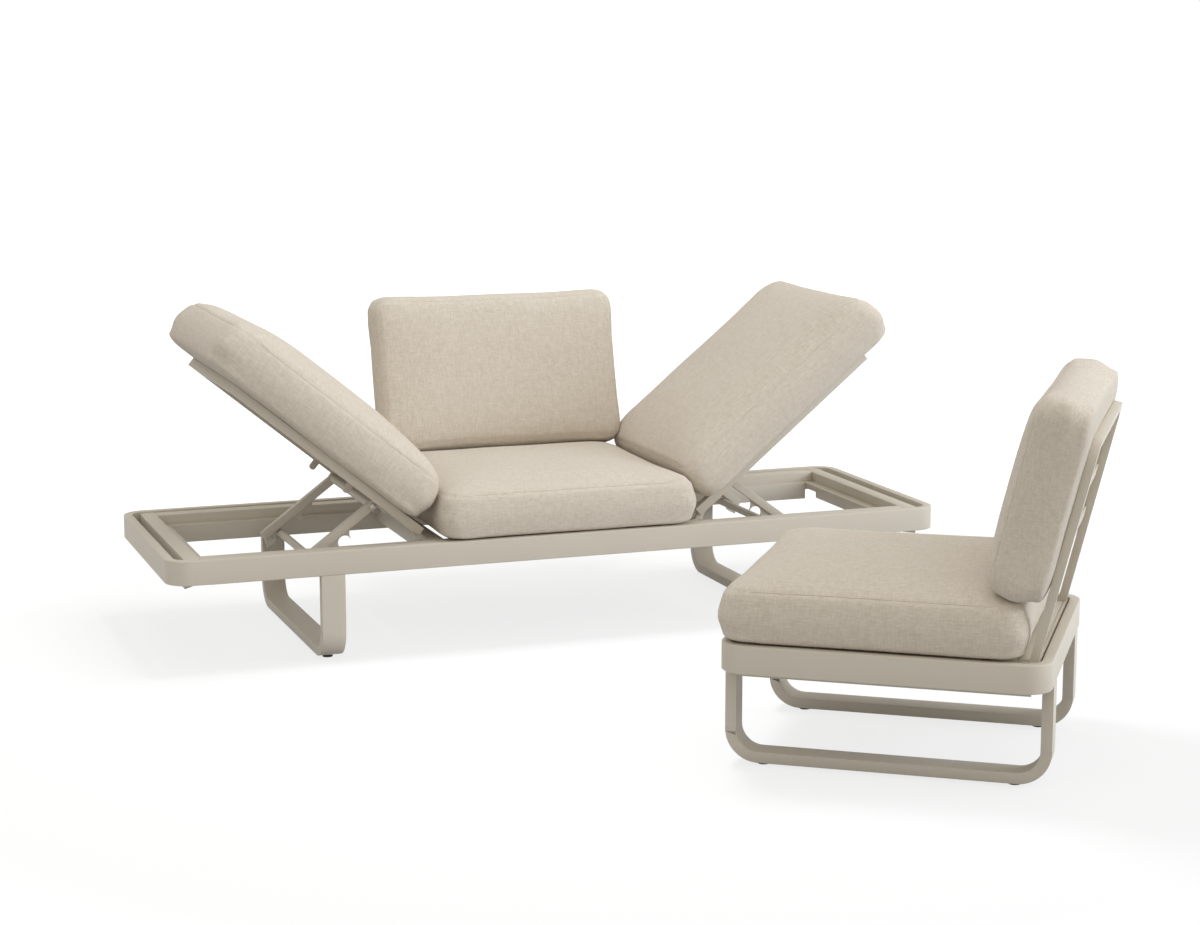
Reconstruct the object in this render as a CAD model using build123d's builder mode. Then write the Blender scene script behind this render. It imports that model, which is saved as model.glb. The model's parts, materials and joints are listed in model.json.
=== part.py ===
"""Outdoor modular sofa: a long bench with a recliner at each end, and an armless chair beside it.

Millimetres. Each module is built with x across its front, y from front to back, z up from the floor.
The bench keeps that frame, the chair is turned and set in front of it, and at the end the whole set
is moved so that the centre of its footprint is the origin.
"""
import os
from copy import copy
from math import cos, radians, sin

from build123d import *

os.makedirs("parts", exist_ok=True)

# Modules: the bench is three module sides long, the chair one.
module_side = 750.0
bench_modules = 3
bench_long = bench_modules * module_side
bench_middle = bench_long / 2
half_side = module_side / 2

# Where the chair stands: its back left corner in the bench frame, and its turn.
chair_x = 1449.0
chair_y = -683.0
chair_angle = -126.12

# Rim, the flat tube round each module.
rim_top = 308.0
rim_tall = 66.0
rim_thick = 25.0
rim_corner = 63.0
rim_edge = 1.5
rim_bottom = rim_top - rim_tall

# Inner rails along the front and back: an upper tube, and a lower tube that leaves a ledge.
rail_gap = 5.0
rail_wide = 48.0
rail_drop = 4.0
upper_tall = 54.0
ledge_drop = 28.0
ledge_wide = 22.0
lower_wide = 26.0
lower_bottom = 225.0
spacer_wide = 40.0
spacer_tall = 24.0
spacer_drop = 14.0
spacer_shares = (0.12, 0.5, 0.88)
corner_clear = 20.0
lip_start = 45.0
rail_top = rim_top - rail_drop
ledge_top = rail_top - ledge_drop
rail_outer = rim_thick + rail_gap
rail_inner = rail_outer + rail_wide
lower_inner = rail_inner + ledge_wide

# End beams and their notched ledge rails.
slot_wide = 25.5
beam_wide = 42.5
beam_tall = 40.0
shelf_wide = 33.0
shelf_tall = 17.0
web_tall = 18.0
corner_cut = 13.0
notch_long = 77.0
beam_outer = rim_thick + slot_wide
beam_inner = beam_outer + beam_wide
shelf_inner = beam_inner + shelf_wide

# Cross rails and seat slats under the middle seat.
cross_setback = 13.0
cross_wide = 40.0
cross_tall = 50.0
cross_drop = 4.0
slat_wide = 50.0
bench_slats = 5
chair_slats = 4
end_clear = 0.5

# U legs and glides.
leg_wide = 65.0
leg_thick = 26.0
leg_bend = 78.0
bench_leg_inset = 409.0
chair_leg_inset = 98.0
glide_round = 28.0
glide_tall = 8.0
glide_inset = 85.0

# Recliner: hinge line, raised angle and frame. Heights above the hinge are square to the back.
raised_angle = 39.5
hinge_inset = 38.0
hinge_z = 296.0
frame_side = 100.0
frame_start = 14.0
frame_long = 671.0
tube_side = 25.0
frame_rise = 9.3
recliner_slats = 4
flat_bar_wide = 40.0
flat_bar_thick = 6.0

# Hinge clevises, tongues and pins.
knuckle_round = 11.0
tongue_thick = 12.0
cheek_thick = 6.0
cheek_gap = 0.3
hinge_pin = 8.0
pin_clear = 0.05
pin_head = 12.0
pin_head_tall = 3.0
rod_head = 16.0
tongue_long = 34.0
cheek_foot = 30.0

# Prop: two square arms on one cross tube, with claw plates that hook on the catch bar.
prop_s = 157.0
prop_drop = 1.2
prop_angle = 36.4
prop_centre = 160.0
arm_side = 22.0
arm_long = 262.0
prop_rod = 10.0
ear_thick = 6.0
ear_clear = 0.5
cross_bar_wide = 30.0
cross_bar_drop = 5.0
catch_round = 22.0
catch_off = 27.4

# Claw plate: round notches along the arm, each with a horn on its upper side. Depths are from the
# arm's centre line, and the lowest horn slopes to let the catch bar out. Places along the arm are
# set back from the plate's lower end, and the catch bar sits in the lowest notch.
claw_thick = 6.0
claw_deep = 38.0
claw_past_arm = 9.0
claw_run = 189.0
claw_end_deep = 35.0
notches = 3
notch_back = 52.2
notch_pitch = 49.4
notch_radius = 19.0
notch_deep = 34.0
horn_slope_rise = 45.8
horn_slope_foot = 14.3
horn_slope_deep = 19.5
claw_hole = 7.0
claw_hole_back = 28.0
claw_hole_off = 20.0
horn_share = 0.25
catch_back = 3.8
claw_end = arm_long + claw_past_arm
claw_start = claw_end - claw_run
last_notch = claw_end - notch_back
catch_along = last_notch - catch_back

# Keeper lugs beside the arms.
lug_s = 234.0
lug_wide = 19.0
lug_thick = 8.0
lug_clear = 6.0
lug_deep = 27.0

# Back frame: an upturned U that leans, with cross bars.
lean_angle = 13.5
upright_wide = 25.0
upright_deep = 20.0
upright_inset = 52.0
upright_long = 515.0
upright_bend = 60.0
foot_setback = 2.0
bar_tall = 30.0
bar_thick = 5.0
bar_shares = (0.44, 0.65, 0.85)
bolt_round = 8.0
bolt_clear = 0.3
bolt_head = 13.0
bolt_head_tall = 5.5
bolt_bite = 18.0

# Cushions.
soft_gap = 0.3
seam_gap = 1.0
seat_overhang = 7.0
seat_foot_gap = 3.4
seat_seam_tall = 122.0
seat_crown = 40.0
side_bulge = 9.0
side_draw = 5.0
seam_inset = 5.0
corner_round = 46.0
cushion_round = 26.0
back_cushion_wide = 750.0
back_cushion_tall = 462.0
back_cushion_thick = 128.0
back_cushion_crown = 30.0
back_round = 42.0
back_rise = 130.0
recline_long = 738.0
recline_wide = 662.0
recline_seam_tall = 122.0
recline_crown = 58.0
recline_start = 43.0
recline_round = 36.0

# Where a sloping side leaves a round knuckle, as a share of its radius.
tangent_share = 0.7

# How far a cushion's crown has risen at each step in from its seam, as shares of the crown and of
# half its shorter side.
crown_shares = (0.55, 1.0)
crown_inset_shares = (0.17, 0.62)

# How far out from its middle a cushion's side starts to come back from being drawn in.
draw_share = 0.5

cut_over = 5.0


def keep(builder, name):
    """Label a finished piece and add it to the set."""
    builder.part.label = name
    pieces.append(builder.part)
    return builder.part


def keep_solid(solid, name):
    """Label a placed or mirrored copy and add it to the set."""
    solid.label = name
    pieces.append(solid)
    return solid


pieces = []
bench_mirror = Plane.YZ.offset(bench_middle)


def rim_ring(length):
    """Flat-tube ring round a module, with rounded corners and softened edges."""
    with BuildPart() as rim:
        with BuildSketch(Plane.XY.offset(rim_bottom)):
            with Locations((length / 2, half_side)):
                RectangleRounded(length, module_side, rim_corner)
                RectangleRounded(
                    length - 2 * rim_thick,
                    module_side - 2 * rim_thick,
                    rim_corner - rim_thick,
                    mode=Mode.SUBTRACT,
                )
        extrude(amount=rim_tall)
        chamfer(rim.edges().group_by(Axis.Z)[-1], rim_edge)
        chamfer(rim.edges().group_by(Axis.Z)[0], rim_edge)
    return rim


def long_rail(start, end, lower_start, lower_end, bolt_places):
    """Inner rail along the front: upper tube, ledge, lower tube and the spacers to the rim."""
    with BuildPart() as rail:
        with BuildSketch(Plane.YZ.offset(start)):
            with Locations((rail_outer, rail_top)):
                Rectangle(rail_wide, upper_tall, align=(Align.MIN, Align.MAX))
        extrude(amount=end - start)
        with BuildSketch(Plane.YZ.offset(lower_start)):
            with Locations((lower_inner, ledge_top)):
                Rectangle(lower_wide, ledge_top - lower_bottom, align=(Align.MAX, Align.MAX))
        extrude(amount=lower_end - lower_start)
        with BuildSketch(Plane.XY.offset(rail_top - spacer_drop)):
            with Locations(*[(start + (end - start) * share, rim_thick) for share in spacer_shares]):
                Rectangle(spacer_wide, rail_gap, align=(Align.CENTER, Align.MIN))
        extrude(amount=-spacer_tall)
        if bolt_places:
            with Locations(*[(x, y, rail_top) for x, y in bolt_places]):
                Hole(bolt_round / 2 + bolt_clear, depth=upper_tall + cut_over)
    return rail


def lip(outer_x, top):
    """Lower tube under an end beam or side rail, with mitred ends."""
    with BuildPart() as tube:
        with BuildSketch(Plane.XY.offset(lower_bottom)):
            with BuildLine():
                Polyline(
                    (outer_x, lip_start),
                    (outer_x + lower_wide, lip_start + lower_wide),
                    (outer_x + lower_wide, module_side - lip_start - lower_wide),
                    (outer_x, module_side - lip_start),
                    close=True,
                )
            make_face()
        extrude(amount=top - lower_bottom)
    return tube.part


def end_beam():
    """Beam across the left end, inside the open slot behind the rim."""
    with BuildPart() as beam:
        with BuildSketch(Plane.XZ.offset(-rim_thick)):
            with Locations((beam_outer, rail_top)):
                Rectangle(beam_wide, beam_tall, align=(Align.MIN, Align.MAX))
        extrude(amount=-(module_side - 2 * rim_thick))
        chamfer(beam.edges().filter_by(Axis.Z).group_by(Axis.X)[0], corner_cut)
        add(lip(beam_outer, rail_top - beam_tall))
    return beam


def shelf_rail():
    """Ledge rail on the inside of an end beam, with its web cut short at both ends."""
    with BuildPart() as shelf:
        with BuildSketch(Plane.XZ.offset(-rail_inner)):
            with Locations((beam_inner, ledge_top)):
                Rectangle(shelf_wide, shelf_tall, align=(Align.MIN, Align.MAX))
        extrude(amount=-(module_side - 2 * rail_inner))
        with BuildSketch(Plane.XZ.offset(-lower_inner - notch_long)):
            with Locations((beam_inner, ledge_top - shelf_tall)):
                Rectangle(shelf_wide, web_tall, align=(Align.MIN, Align.MAX))
        extrude(amount=-(module_side - 2 * lower_inner - 2 * notch_long))
    return shelf


def cross_rail(outer_x):
    """Tube from the front rail to the back rail, under the edge of a seat."""
    with BuildPart() as rail:
        with BuildSketch(Plane.XZ.offset(-lower_inner)):
            with Locations((outer_x, rail_top - cross_drop)):
                Rectangle(cross_wide, cross_tall, align=(Align.MIN, Align.MAX))
        extrude(amount=-(module_side - 2 * lower_inner))
    return rail


def slats(first_x, last_x, count):
    """Flat tubes from ledge to ledge between two places along the seat."""
    pitch = (last_x - first_x) / count
    with BuildPart() as group:
        with BuildSketch(Plane.XY.offset(ledge_top)):
            with Locations(*[(first_x + pitch / 2 + pitch * i, half_side) for i in range(count)]):
                Rectangle(slat_wide, module_side - 2 * rail_inner - 2 * end_clear)
        extrude(amount=rim_top - ledge_top)
    return group


def u_leg(left_x):
    """Sled leg: two posts and a floor run of one bent flat tube."""
    leg_tall = rim_bottom - glide_tall
    with BuildPart() as leg:
        with BuildSketch(Plane.YZ.offset(left_x)) as outline:
            with Locations((0, glide_tall)):
                Rectangle(module_side, leg_tall, align=(Align.MIN, Align.MIN))
            fillet(outline.vertices().group_by(Axis.Y)[0], leg_bend)
        extrude(amount=leg_wide)
        with BuildSketch(Plane.YZ.offset(left_x)) as inside:
            with Locations((leg_thick, glide_tall + leg_thick)):
                Rectangle(module_side - 2 * leg_thick, leg_tall, align=(Align.MIN, Align.MIN))
            fillet(inside.vertices().group_by(Axis.Y)[0], leg_bend - leg_thick)
        extrude(amount=leg_wide, mode=Mode.SUBTRACT)
    return leg


def glides(leg_places):
    """Round feet under the floor runs, two a leg."""
    with BuildPart() as group:
        with BuildSketch():
            with Locations(
                *[(x + leg_wide / 2, y) for x in leg_places for y in (glide_inset, module_side - glide_inset)]
            ):
                Circle(glide_round / 2)
        extrude(amount=glide_tall)
    return group


def cushion_outline(length, width, inset):
    """Closed outline of a cushion at one height: rounded corners, and sides drawn in between them."""
    half_long = length / 2 - inset
    half_wide = width / 2 - inset
    flat_long = half_long - corner_round
    flat_wide = half_wide - corner_round
    drawn_long = half_long - side_draw
    drawn_wide = half_wide - side_draw
    bend = corner_round * (1 - cos(radians(45)))
    with BuildLine() as line:
        for turn_x, turn_y in ((1, 1), (-1, 1), (-1, -1), (1, -1)):
            long_end = (turn_x * half_long, turn_y * flat_wide)
            wide_end = (turn_x * flat_long, turn_y * half_wide)
            long_step = (turn_x * drawn_long, turn_y * flat_wide * draw_share)
            wide_step = (turn_x * flat_long * draw_share, turn_y * drawn_wide)
            middle = (turn_x * (half_long - bend), turn_y * (half_wide - bend))
            if turn_x == turn_y:
                Line(long_step, long_end)
                ThreePointArc(long_end, middle, wide_end)
                Polyline(wide_end, wide_step, (-wide_step[0], wide_step[1]))
            else:
                Line(wide_step, wide_end)
                ThreePointArc(wide_end, middle, long_end)
                Polyline(long_end, long_step, (long_step[0], -long_step[1]))
    return line.line


def cushion(bed, length, width, seam_tall, crown, rounding):
    """Boxed cushion on a plane: rounded underside, bulged box, and a crown that rises from its seam.

    The plane's x runs along the length and its z up from the underside. Length and width are taken
    over the bulged sides.
    """
    turn = radians(45)
    seam_long = length - 2 * side_bulge
    seam_wide = width - 2 * side_bulge
    reach = min(seam_long, seam_wide) / 2
    stations = [(0, rounding), (rounding * (1 - cos(turn)), rounding * (1 - sin(turn)))]
    stations += [(rounding, 0), (seam_tall / 2, -side_bulge), (seam_tall, seam_inset)]
    stations += [(seam_tall + crown * rise, reach * inset) for rise, inset in zip(crown_shares, crown_inset_shares)]
    middle = Plane(bed.from_local_coords((length / 2, 0, 0)), x_dir=bed.x_dir, z_dir=bed.z_dir)
    with BuildPart() as pad:
        for height, inset in stations:
            with BuildSketch(middle.offset(height)):
                add(cushion_outline(seam_long, seam_wide, inset))
                make_face()
        loft(ruled=True)
    return pad


def bolt_places_under(left_x):
    """Bolt axes under the two uprights of a back frame."""
    y = module_side - upright_foot_centre
    inset = upright_inset + upright_wide / 2
    return [(left_x + inset, y), (left_x + module_side - inset, y)]


# Back frame: the rear face of its foot stands just inside the edge of the back rail.
upright_foot_rear = module_side - rail_outer - foot_setback
upright_foot_centre = upright_foot_rear - upright_deep / 2


def lean_plane(left_x):
    """Plane of a back frame's rear face: x across, y up the lean, z towards the sitter."""
    tilt = radians(lean_angle)
    return Plane((left_x, upright_foot_rear, rail_top), x_dir=(1, 0, 0), z_dir=(0, -cos(tilt), sin(tilt)))


def back_frame(left_x):
    """Upturned U of rectangular tube, cut level at its feet and drilled for the bolts."""
    wide = module_side - 2 * upright_inset
    with BuildPart() as frame:
        with BuildSketch(lean_plane(left_x)) as outline:
            with Locations((half_side, -cut_over)):
                Rectangle(wide, upright_long + cut_over, align=(Align.CENTER, Align.MIN))
            fillet(outline.vertices().group_by(Axis.Y)[-1], upright_bend)
        extrude(amount=upright_deep)
        with BuildSketch(lean_plane(left_x)) as inside:
            with Locations((half_side, -2 * cut_over)):
                Rectangle(
                    wide - 2 * upright_wide,
                    upright_long - upright_wide + 2 * cut_over,
                    align=(Align.CENTER, Align.MIN),
                )
            fillet(inside.vertices().group_by(Axis.Y)[-1], upright_bend - upright_wide)
        extrude(amount=upright_deep, mode=Mode.SUBTRACT)
        split(bisect_by=Plane.XY.offset(rail_top), keep=Keep.TOP)
        with BuildSketch(Plane.XY.offset(rail_top)):
            with Locations(*[(x, module_side - y) for x, y in bolt_places_under(left_x)]):
                Circle(bolt_round / 2 + pin_clear)
        extrude(amount=bolt_bite, mode=Mode.SUBTRACT)
    return frame


def back_bars(left_x):
    """Flat bars across the back frame, set in its front face."""
    wide = module_side - 2 * upright_inset - 2 * upright_wide
    with BuildPart() as bars:
        with BuildSketch(lean_plane(left_x).offset(upright_deep - bar_thick)):
            with Locations(*[(half_side, upright_long * share) for share in bar_shares]):
                Rectangle(wide, bar_tall)
        extrude(amount=bar_thick)
    return bars


def back_bolts(left_x):
    """Bolts up through the back rail into the uprights."""
    places = [(x, module_side - y) for x, y in bolt_places_under(left_x)]
    under = rail_top - upper_tall
    with BuildPart() as bolts:
        with BuildSketch(Plane.XY.offset(under - bolt_head_tall)):
            with Locations(*places):
                RegularPolygon(bolt_head / 2, 6)
        extrude(amount=bolt_head_tall)
        with BuildSketch(Plane.XY.offset(under)):
            with Locations(*places):
                Circle(bolt_round / 2)
        extrude(amount=upper_tall + bolt_bite - end_clear)
    return bolts


def seat_cushion(left_x):
    """Seat cushion on the rim and slats, up to the feet of the back frame."""
    bed = Plane((left_x + half_side, -seat_overhang, rim_top + soft_gap), x_dir=(0, 1, 0), z_dir=(0, 0, 1))
    wide = module_side - 2 * seam_gap
    foot_front = upright_foot_rear - upright_deep / cos(radians(lean_angle))
    return cushion(bed, foot_front - seat_foot_gap + seat_overhang, wide, seat_seam_tall, seat_crown, cushion_round)


def back_cushion(left_x):
    """Back cushion against the back frame, standing on the seat cushion."""
    face = lean_plane(left_x).offset(upright_deep + soft_gap)
    bed = Plane(face.from_local_coords((half_side, back_rise, 0)), x_dir=face.y_dir, z_dir=face.z_dir)
    return cushion(
        bed,
        back_cushion_tall,
        back_cushion_wide,
        back_cushion_thick,
        back_cushion_crown,
        back_round,
    )


# Bench base.
seat_left = module_side
seat_right = 2 * module_side
cross_left = seat_left - cross_setback
cross_right = seat_right + cross_setback - cross_wide

keep(rim_ring(bench_long), "bench_rim")
rail_span = (beam_inner, bench_long - beam_inner, shelf_inner, bench_long - shelf_inner)
keep(long_rail(*rail_span, []), "bench_front_rail")
back_rail = long_rail(*rail_span, bolt_places_under(seat_left)).part
keep_solid(mirror(back_rail, about=Plane.XZ.offset(-half_side)), "bench_back_rail")

left_beam = keep(end_beam(), "bench_left_beam")
keep_solid(mirror(left_beam, about=bench_mirror), "bench_right_beam")
left_shelf = keep(shelf_rail(), "bench_left_ledge_rail")
keep_solid(mirror(left_shelf, about=bench_mirror), "bench_right_ledge_rail")
keep(cross_rail(cross_left), "bench_left_cross_rail")
keep(cross_rail(cross_right), "bench_right_cross_rail")
keep(slats(cross_left + cross_wide, cross_right, bench_slats), "bench_seat_slats")

right_leg_x = bench_long - bench_leg_inset - leg_wide
keep(u_leg(bench_leg_inset), "bench_left_leg")
keep(u_leg(right_leg_x), "bench_right_leg")
keep(glides((bench_leg_inset, right_leg_x)), "bench_glides")

# Bench middle.
keep(back_frame(seat_left), "bench_back_frame")
keep(back_bars(seat_left), "bench_back_bars")
keep(back_bolts(seat_left), "bench_back_bolts")
keep(seat_cushion(seat_left), "bench_seat_cushion")
keep(back_cushion(seat_left), "bench_back_cushion")

# Left recliner. Side plane: x up the raised back, y square to it, z along the bench's y.
hinge_x = seat_left - hinge_inset
raise_turn = radians(raised_angle)
side = Plane((hinge_x, 0, hinge_z), x_dir=(-cos(raise_turn), 0, sin(raise_turn)), z_dir=(0, 1, 0))
rear_side = module_side - frame_side
frame_end = frame_start + frame_long
hinge_ys = (frame_side + tube_side / 2, rear_side - tube_side / 2)
arm_ys = (prop_centre, module_side - prop_centre)


def side_box(s_from, s_to, n_from, n_to, y_from, y_to):
    """Square bar in the raised back's own directions."""
    with BuildPart() as bar:
        with BuildSketch(side.offset(y_from)):
            with Locations((s_from, n_from)):
                Rectangle(s_to - s_from, n_to - n_from, align=(Align.MIN, Align.MIN))
        extrude(amount=y_to - y_from)
    return bar.part


frame_top = frame_rise + tube_side
bar_bottom = frame_rise + cross_bar_drop

with BuildPart() as left_back_frame:
    for y_from in (frame_side, rear_side - tube_side):
        add(side_box(frame_start, frame_end, frame_rise, frame_top, y_from, y_from + tube_side))
    for s_from in (frame_start, frame_end - tube_side):
        add(side_box(s_from, s_from + tube_side, frame_rise, frame_top, frame_side, rear_side))
    for s_centre in (prop_s, lug_s):
        half_bar = cross_bar_wide / 2
        add(side_box(s_centre - half_bar, s_centre + half_bar, bar_bottom, frame_top, frame_side, rear_side))
    # Hinge tongues under the side rails.
    for y in hinge_ys:
        with BuildSketch(side.offset(y - tongue_thick / 2)):
            Circle(knuckle_round)
            with BuildLine():
                Polyline(
                    (-knuckle_round * tangent_share, knuckle_round * tangent_share),
                    (frame_start, frame_rise + tube_side / 2),
                    (tongue_long, frame_rise + tube_side / 2),
                    (tongue_long, frame_rise),
                    (knuckle_round * tangent_share, -knuckle_round * tangent_share),
                    close=True,
                )
            make_face()
            Circle(hinge_pin / 2 + pin_clear, mode=Mode.SUBTRACT)
        extrude(amount=tongue_thick)
left_back_frame = keep(left_back_frame, "left_recliner_frame")

with BuildPart() as left_slats:
    inner_from = frame_side + tube_side
    slat_pitch = (frame_end - tube_side - lug_s) / (recliner_slats + 1)
    for i in range(recliner_slats):
        s_centre = lug_s + slat_pitch * (i + 1)
        s_from = s_centre - flat_bar_wide / 2
        s_to = s_centre + flat_bar_wide / 2
        add(side_box(s_from, s_to, frame_top - flat_bar_thick, frame_top, inner_from, module_side - inner_from))
left_slats = keep(left_slats, "left_recliner_slats")

with BuildPart() as left_lugs:
    for y in arm_ys:
        inward = 1 if y < half_side else -1
        y_near = y + inward * (arm_side / 2 + lug_clear)
        with BuildSketch(side.offset(min(y_near, y_near + inward * lug_thick))):
            with BuildLine():
                tip = frame_rise - lug_deep + lug_wide / 2
                Line((lug_s - lug_wide / 2, bar_bottom), (lug_s + lug_wide / 2, bar_bottom))
                Line((lug_s + lug_wide / 2, bar_bottom), (lug_s + lug_wide / 2, tip))
                ThreePointArc(
                    (lug_s + lug_wide / 2, tip), (lug_s, tip - lug_wide / 2), (lug_s - lug_wide / 2, tip)
                )
                Line((lug_s - lug_wide / 2, tip), (lug_s - lug_wide / 2, bar_bottom))
            make_face()
        extrude(amount=lug_thick)
left_lugs = keep(left_lugs, "left_recliner_lugs")

# Hinge brackets on the cross rail, two cheeks to each tongue, and their pins.
hinge_level = Plane((hinge_x, 0, hinge_z), x_dir=(1, 0, 0), z_dir=(0, -1, 0))
cheek_reach = cross_left - hinge_x
with BuildPart() as left_brackets:
    for y in hinge_ys:
        for outer in (-1, 1):
            near = y + outer * (tongue_thick / 2 + cheek_gap)
            y_start = max(near, near + outer * cheek_thick)
            with BuildSketch(hinge_level.offset(-y_start)):
                Circle(knuckle_round)
                with BuildLine():
                    Polyline(
                        (0, knuckle_round),
                        (cheek_reach, rail_top - cross_drop - hinge_z),
                        (cheek_reach, rail_top - cross_drop - hinge_z - cheek_foot),
                        (0, -knuckle_round),
                        close=True,
                    )
                make_face()
                Circle(hinge_pin / 2 + pin_clear, mode=Mode.SUBTRACT)
            extrude(amount=cheek_thick)
left_brackets = keep(left_brackets, "left_hinge_brackets")

pin_long = tongue_thick + 2 * cheek_gap + 2 * cheek_thick
with BuildPart() as left_pins:
    for y in hinge_ys:
        inward = 1 if y < half_side else -1
        head_y = y + inward * pin_long / 2
        with BuildSketch(hinge_level.offset(-(y + pin_long / 2))):
            Circle(hinge_pin / 2)
        extrude(amount=pin_long)
        with BuildSketch(hinge_level.offset(-max(head_y, head_y + inward * pin_head_tall))):
            Circle(pin_head / 2)
        extrude(amount=pin_head_tall)
left_pins = keep(left_pins, "left_hinge_pins")

# Prop. Its plane: x down the arm to the foot, y towards the notched side, z along minus y.
pivot = side.from_local_coords((prop_s, -prop_drop, 0))
prop_turn = radians(prop_angle)
prop_plane = Plane(pivot, x_dir=(-cos(prop_turn), 0, -sin(prop_turn)), z_dir=(0, -1, 0))
catch = prop_plane.from_local_coords((catch_along, catch_off, 0))
half_arm = arm_side / 2

with BuildPart() as left_ears:
    for y in arm_ys:
        outward = -1 if y < half_side else 1
        near = y + outward * (half_arm + ear_clear)
        with BuildSketch(side.offset(min(near, near + outward * ear_thick))):
            with Locations((prop_s, -prop_drop)):
                Circle(half_arm)
            with Locations((prop_s, bar_bottom)):
                Rectangle(arm_side, bar_bottom + prop_drop, align=(Align.CENTER, Align.MAX))
            with Locations((prop_s, -prop_drop)):
                Circle(prop_rod / 2 + pin_clear, mode=Mode.SUBTRACT)
        extrude(amount=ear_thick)
left_ears = keep(left_ears, "left_prop_ears")

ear_outer = arm_ys[0] - half_arm - ear_clear - ear_thick
with BuildPart() as left_rod:
    with BuildSketch(side.offset(ear_outer)):
        with Locations((prop_s, -prop_drop)):
            Circle(prop_rod / 2)
    extrude(amount=module_side - 2 * ear_outer)
    for head_y in (ear_outer - pin_head_tall, module_side - ear_outer):
        with BuildSketch(side.offset(head_y)):
            with Locations((prop_s, -prop_drop)):
                Circle(rod_head / 2)
        extrude(amount=pin_head_tall)
left_rod = keep(left_rod, "left_prop_rod")

with BuildPart() as left_prop:
    with BuildSketch(prop_plane.offset(-arm_ys[1] - half_arm)):
        Circle(half_arm)
    extrude(amount=arm_ys[1] - arm_ys[0] + arm_side)
    for y in arm_ys:
        with BuildSketch(prop_plane.offset(-y - half_arm)):
            Rectangle(arm_long, arm_side, align=(Align.MIN, Align.CENTER))
        extrude(amount=arm_side)
    with BuildSketch(prop_plane.offset(-arm_ys[1] - half_arm)):
        Circle(prop_rod / 2 + pin_clear)
    extrude(amount=arm_ys[1] - arm_ys[0] + arm_side, mode=Mode.SUBTRACT)
left_prop = keep(left_prop, "left_prop_frame")

with BuildPart() as left_claws:
    for y in arm_ys:
        with BuildSketch(prop_plane.offset(-y - claw_thick / 2)):
            with BuildLine():
                horn_tip = last_notch - notch_pitch * (notches - 1) - notch_radius
                Line((claw_start, half_arm), (arm_long, half_arm))
                Line((arm_long, half_arm), (claw_end, claw_end_deep))
                Line((claw_end, claw_end_deep), (claw_end - claw_deep / 2, claw_deep))
                Line((claw_end - claw_deep / 2, claw_deep), (horn_tip, claw_deep))
                ThreePointArc(
                    (horn_tip, claw_deep),
                    (horn_tip - (horn_tip - claw_start) * horn_share, (half_arm + claw_deep) / 2),
                    (claw_start, half_arm),
                )
            make_face()
            with Locations(*[(last_notch - notch_pitch * i, notch_deep) for i in range(notches)]):
                Circle(notch_radius, mode=Mode.SUBTRACT)
            with BuildLine():
                Polyline(
                    (last_notch - horn_slope_rise, claw_deep),
                    (last_notch - horn_slope_foot, horn_slope_deep),
                    (last_notch - horn_slope_foot, claw_deep),
                    close=True,
                )
            make_face(mode=Mode.SUBTRACT)
            with Locations((claw_end - claw_hole_back, claw_hole_off)):
                Circle(claw_hole / 2, mode=Mode.SUBTRACT)
        extrude(amount=claw_thick)
left_claws = keep(left_claws, "left_prop_claws")

with BuildPart() as left_catch:
    with BuildSketch(Plane.XZ.offset(-lower_inner)):
        with Locations((catch.X, catch.Z)):
            Circle(catch_round / 2)
    extrude(amount=-(module_side - 2 * lower_inner))
left_catch = keep(left_catch, "left_catch_bar")

recline_bed = Plane(
    side.from_local_coords((recline_start, frame_top + soft_gap, half_side)),
    x_dir=side.x_dir,
    z_dir=side.y_dir,
)
left_cushion = keep(
    cushion(
        recline_bed,
        recline_long,
        recline_wide,
        recline_seam_tall,
        recline_crown,
        recline_round,
    ),
    "left_recliner_cushion",
)

# Right recliner, the left one's mirror image.
for piece in (
    left_back_frame,
    left_slats,
    left_lugs,
    left_brackets,
    left_pins,
    left_ears,
    left_rod,
    left_prop,
    left_claws,
    left_catch,
    left_cushion,
):
    keep_solid(mirror(piece, about=bench_mirror), piece.label.replace("left", "right"))

# Chair, built as one module and then turned into its place.
chair_place = Location((chair_x, chair_y, 0), (0, 0, chair_angle))
chair_rail_start = rim_thick + corner_clear
chair_span = (chair_rail_start, module_side - chair_rail_start, rail_inner, module_side - rail_inner)
chair_back_rail = mirror(long_rail(*chair_span, bolt_places_under(0)).part, about=Plane.XZ.offset(-half_side))

with BuildPart() as chair_side_rail:
    with BuildSketch(Plane.XZ.offset(-rail_inner)):
        with Locations((rail_outer, rail_top)):
            Rectangle(rail_wide, upper_tall, align=(Align.MIN, Align.MAX))
    extrude(amount=-(module_side - 2 * rail_inner))
    add(lip(rail_inner - lower_wide, rail_top - upper_tall))
chair_leg_right = module_side - chair_leg_inset - leg_wide

for piece, name in (
    (rim_ring(module_side).part, "chair_rim"),
    (long_rail(*chair_span, []).part, "chair_front_rail"),
    (chair_back_rail, "chair_back_rail"),
    (chair_side_rail.part, "chair_left_side_rail"),
    (mirror(chair_side_rail.part, about=Plane.YZ.offset(half_side)), "chair_right_side_rail"),
    (slats(rail_inner, module_side - rail_inner, chair_slats).part, "chair_seat_slats"),
    (u_leg(chair_leg_inset).part, "chair_left_leg"),
    (u_leg(chair_leg_right).part, "chair_right_leg"),
    (glides((chair_leg_inset, chair_leg_right)).part, "chair_glides"),
    (back_frame(0).part, "chair_back_frame"),
    (back_bars(0).part, "chair_back_bars"),
    (back_bolts(0).part, "chair_back_bolts"),
    (seat_cushion(0).part, "chair_seat_cushion"),
    (back_cushion(0).part, "chair_back_cushion"),
):
    keep_solid(chair_place * piece, name)

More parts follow.
